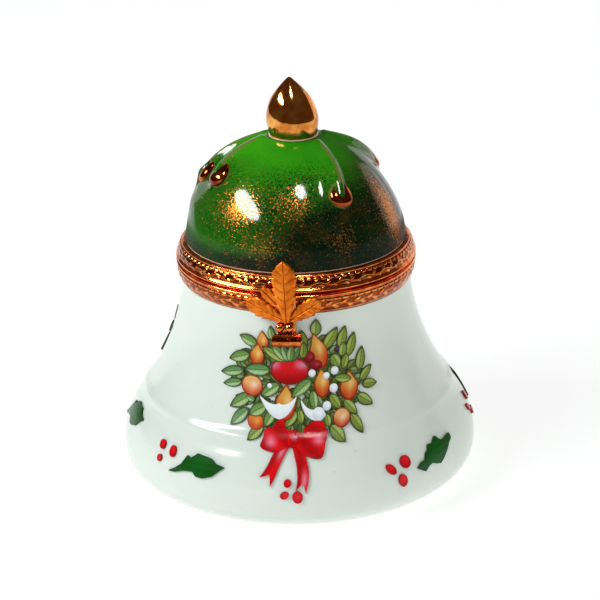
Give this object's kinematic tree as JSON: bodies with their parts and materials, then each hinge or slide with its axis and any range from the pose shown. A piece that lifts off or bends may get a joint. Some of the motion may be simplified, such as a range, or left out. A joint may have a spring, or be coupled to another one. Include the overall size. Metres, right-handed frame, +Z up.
{
  "type": "bell-shaped trinket box",
  "caption": "Bell-shaped hinged porcelain trinket box with a green domed lid, gilded bud finial, brass rim bands, leaf-sprig clasp and a painted fruit wreath.",
  "frame": {"origin": "centre of the foot ring, on the surface the box stands on", "axes": "+Z up through the finial, -Y towards the clasp, +Y towards the hinge, +X to the right seen from the clasp"},
  "size_m": [0.057, 0.057, 0.0659],
  "materials": {
    "white_porcelain": "glossy white glaze with painted decoration",
    "green_glaze": "glossy transparent green glaze with stippled gold lustre",
    "gold_lustre": "fired bright gold over porcelain, mirror polish",
    "band_brass": "stamped leaf pattern, reddish brass, polished ridges",
    "clasp_brass": "satin cast brass",
    "hinge_brass": "plain drawn brass",
    "cement": "matt off-white setting cement"
  },
  "bodies": {
    "base": {"bell_body": "white_porcelain", "lower_bezel": "band_brass", "lower_cement": "cement", "lower_hinge_saddle": "hinge_brass", "hinge_knuckle_1": "hinge_brass", "hinge_knuckle_3": "hinge_brass", "hinge_knuckle_5": "hinge_brass", "hinge_pin": "hinge_brass", "catch_nub": "band_brass"},
    "lid": {"lid_dome": "green_glaze", "finial": "gold_lustre", "upper_bezel": "band_brass", "upper_cement": "cement", "upper_hinge_saddle": "hinge_brass", "clasp_tongue": "clasp_brass", "clasp_centre_leaf": "clasp_brass", "clasp_left_leaf": "clasp_brass", "clasp_right_leaf": "clasp_brass", "clasp_small_leaf": "clasp_brass", "clasp_berry_left": "clasp_brass", "clasp_berry_right": "clasp_brass", "clasp_thumb_lift": "clasp_brass", "hinge_knuckle_2": "hinge_brass", "hinge_knuckle_4": "hinge_brass"}
  },
  "joints": [
    {"name": "lid_hinge", "type": "hinge", "parent": "base", "child": "lid", "pos_m": [0, 0.02045, 0.037], "axis": [-1, 0, 0], "range_deg": [0, 100]}
  ]
}
